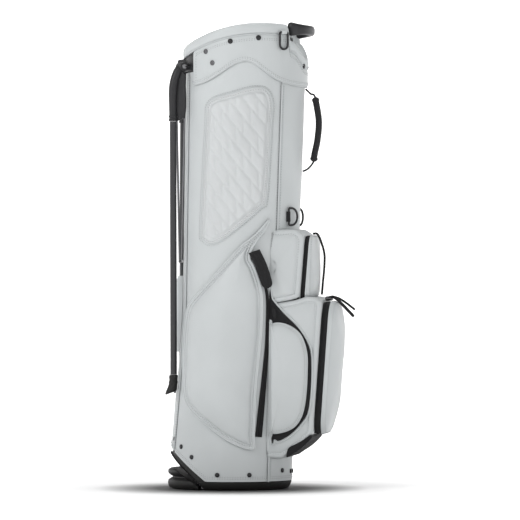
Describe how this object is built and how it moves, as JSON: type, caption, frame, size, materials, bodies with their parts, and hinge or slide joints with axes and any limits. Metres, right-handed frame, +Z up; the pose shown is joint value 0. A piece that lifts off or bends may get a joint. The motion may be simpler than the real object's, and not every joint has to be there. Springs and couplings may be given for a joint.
{
  "type": "golf bag",
  "caption": "Golf stand bag: light grey leather body on a black moulded base, four club compartments, two fold-out legs, quilted panels and zipped pockets.",
  "frame": {"origin": "middle of the base's flat underside, on the ground", "axes": "+Z up, +X from the legs towards the ball pocket, +Y towards the bag's left side"},
  "size_m": [0.3648, 0.2458, 0.8918],
  "materials": {
    "leather": "satin",
    "quilted_leather": "satin",
    "lining": "matte",
    "zip_tape": "matte",
    "webbing": "matte",
    "grip_fabric": "matte",
    "black_rubber": "matte",
    "black_plastic": "matte",
    "black_tube": "satin",
    "dark_steel": "satin"
  },
  "bodies": {
    "bag": {"front_panel": "leather", "right_side_panel": "leather", "left_side_panel": "leather", "back_panel": "leather", "collar_skirt": "leather", "collar_pad": "leather", "apparel_pocket_right": "leather", "apparel_pocket_left": "leather", "lower_gusset": "leather", "upper_gusset": "leather", "ball_pocket": "leather", "valuables_pocket": "leather", "cooler_pocket": "leather", "rod_sleeve": "leather", "front_divider_bar": "leather", "rear_divider_bar": "leather", "centre_divider_bar": "leather", "quilt_panel_right": "quilted_leather", "quilt_panel_left": "quilted_leather", "front_divider_sheet": "lining", "rear_divider_sheet": "lining", "centre_divider_sheet": "lining", "apparel_zip_right": "zip_tape", "apparel_zip_left": "zip_tape", "ball_zip": "zip_tape", "valuables_zip": "zip_tape", "cooler_zip": "zip_tape", "pocket_loop": "webbing", "base_cup": "black_rubber", "collar_frame": "black_plastic", "lift_handle": "black_plastic", "leg_housing": "black_plastic", "leg_clip": "black_plastic", "d_ring_holder_right": "black_plastic", "d_ring_holder_left": "black_plastic", "foot_pin": "dark_steel", "leg_pin_right": "dark_steel", "leg_pin_left": "dark_steel", "stay_right": "dark_steel", "stay_left": "dark_steel"},
    "leg_right": {"leg_head_right": "black_plastic", "leg_tube_right": "black_tube", "leg_foot_right": "black_rubber"},
    "leg_left": {"leg_head_left": "black_plastic", "leg_tube_left": "black_tube", "leg_foot_left": "black_rubber"},
    "link_right_body": {"link_right": "dark_steel"},
    "link_left_body": {"link_left": "dark_steel"},
    "actuator": {"actuator_rod": "dark_steel"},
    "foot": {"foot_plate": "black_rubber"},
    "apparel_slider_right": {"apparel_pull_right": "webbing"},
    "apparel_slider_left": {"apparel_pull_left": "webbing"},
    "cooler_slider": {"cooler_pull": "webbing"},
    "ball_slider_right": {"ball_pull_right": "webbing"},
    "ball_slider_left": {"ball_pull_left": "webbing"},
    "grab_handle": {"grab_grip": "grip_fabric", "grab_strap": "webbing"},
    "towel_ring_body": {"towel_ring": "black_plastic"},
    "d_ring_right_body": {"d_ring_right": "black_plastic"},
    "d_ring_left_body": {"d_ring_left": "black_plastic"}
  },
  "joints": [
    {"name": "leg_swing_right", "type": "hinge", "parent": "bag", "child": "leg_right", "pos_m": [-0.087, -0.052, 0.808], "axis": [-0.5, 0.866, 0], "range_deg": [0, 25], "stiffness_Nm_per_rad": 0.6},
    {"name": "leg_swing_left", "type": "hinge", "parent": "bag", "child": "leg_left", "pos_m": [-0.087, 0.052, 0.808], "axis": [0.5, 0.866, 0], "range_deg": [0, 25]},
    {"name": "link_turn_right", "type": "hinge", "parent": "leg_right", "child": "link_right_body", "pos_m": [-0.098, -0.048, 0.712], "axis": [-0.5, 0.866, 0], "range_deg": [-33.36, 0]},
    {"name": "link_turn_left", "type": "hinge", "parent": "leg_left", "child": "link_left_body", "pos_m": [-0.098, 0.048, 0.712], "axis": [0.5, 0.866, 0], "range_deg": [-33.36, 0]},
    {"name": "actuator_lift", "type": "slide", "parent": "bag", "child": "actuator", "axis": [0, 0, 1], "range_m": [0, 0.01771]},
    {"name": "foot_tilt", "type": "hinge", "parent": "bag", "child": "foot", "pos_m": [-0.041, 0, 0.005], "axis": [0, 1, 0], "range_deg": [0, 9.26]},
    {"name": "apparel_zip_travel_right", "type": "slide", "parent": "bag", "child": "apparel_slider_right", "axis": [0.2501, 0, -0.9682], "range_m": [0, 0.04]},
    {"name": "apparel_zip_travel_left", "type": "slide", "parent": "bag", "child": "apparel_slider_left", "axis": [0.2501, 0, -0.9682], "range_m": [0, 0.04]},
    {"name": "cooler_zip_travel", "type": "slide", "parent": "bag", "child": "cooler_slider", "axis": [0.9701, 0, -0.2425], "range_m": [0, 0.025]},
    {"name": "ball_zip_travel_right", "type": "slide", "parent": "bag", "child": "ball_slider_right", "axis": [0, -1, 0], "range_m": [0, 0.035]},
    {"name": "ball_zip_travel_left", "type": "slide", "parent": "bag", "child": "ball_slider_left", "axis": [0, 1, 0], "range_m": [0, 0.035]},
    {"name": "grab_handle_swing", "type": "hinge", "parent": "bag", "child": "grab_handle", "pos_m": [0.1446, 0, 0.766], "axis": [0.0354, 0, 0.9994], "range_deg": [-60, 60]},
    {"name": "towel_ring_swing", "type": "hinge", "parent": "bag", "child": "towel_ring_body", "pos_m": [0.11471, -0.08495, 0.8712], "axis": [-0.7193, -0.6947, 0], "range_deg": [0, 75]},
    {"name": "d_ring_swing_right", "type": "hinge", "parent": "bag", "child": "d_ring_right_body", "pos_m": [0.12067, -0.05902, 0.521], "axis": [0, 0, 1], "range_deg": [-100, 0]},
    {"name": "d_ring_swing_left", "type": "hinge", "parent": "bag", "child": "d_ring_left_body", "pos_m": [0.12067, 0.05902, 0.521], "axis": [0, 0, 1], "range_deg": [0, 100]}
  ],
  "couplings": [
    {"joint": "leg_swing_left", "follows": "leg_swing_right", "ratio": 1},
    {"joint": "link_turn_right", "follows": "leg_swing_right", "ratio": -1.334},
    {"joint": "link_turn_left", "follows": "leg_swing_right", "ratio": -1.334},
    {"joint": "actuator_lift", "follows": "leg_swing_right", "m_per_rad": 0.04057},
    {"joint": "foot_tilt", "follows": "leg_swing_right", "ratio": 0.37}
  ]
}
